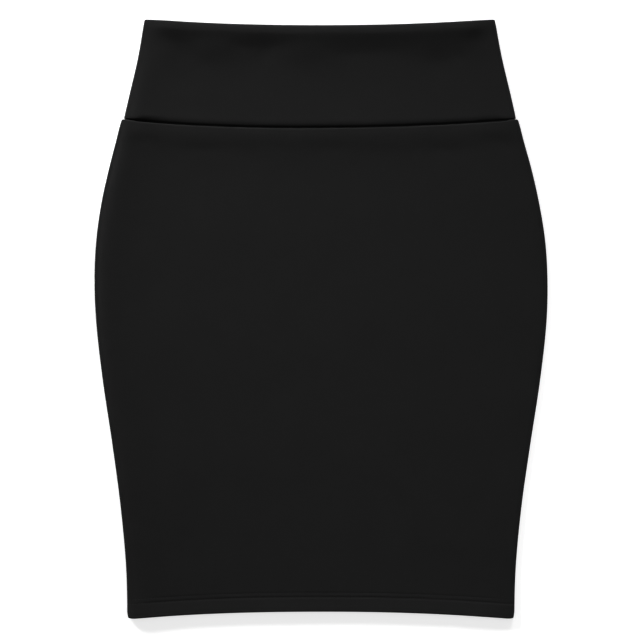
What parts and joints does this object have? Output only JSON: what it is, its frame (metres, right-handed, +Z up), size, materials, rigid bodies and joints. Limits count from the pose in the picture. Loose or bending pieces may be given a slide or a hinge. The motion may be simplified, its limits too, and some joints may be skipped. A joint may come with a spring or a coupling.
{
  "type": "pencil skirt",
  "caption": "Pull-on pencil skirt in plain black stretch knit, laid flat: a high folded waistband over hip-shaped front and back panels, with a turned-up, twin-stitched hem.",
  "frame": {"origin": "centre of the bounding box's underside, on the surface that the skirt lies on", "axes": "+X across the skirt towards the right of it as seen from above, +Y along it from the hem to the waist, +Z up out of the front of the skirt"},
  "size_m": [0.4414, 0.5836, 0.0053],
  "materials": {
    "skirt_knit": "matte black ponte knit",
    "band_knit": "matte black ponte knit, folded double"
  },
  "bodies": {
    "root": {"front_panel": "skirt_knit", "back_panel": "skirt_knit", "waistband_front": "band_knit", "waistband_back": "band_knit"}
  },
  "joints": []
}
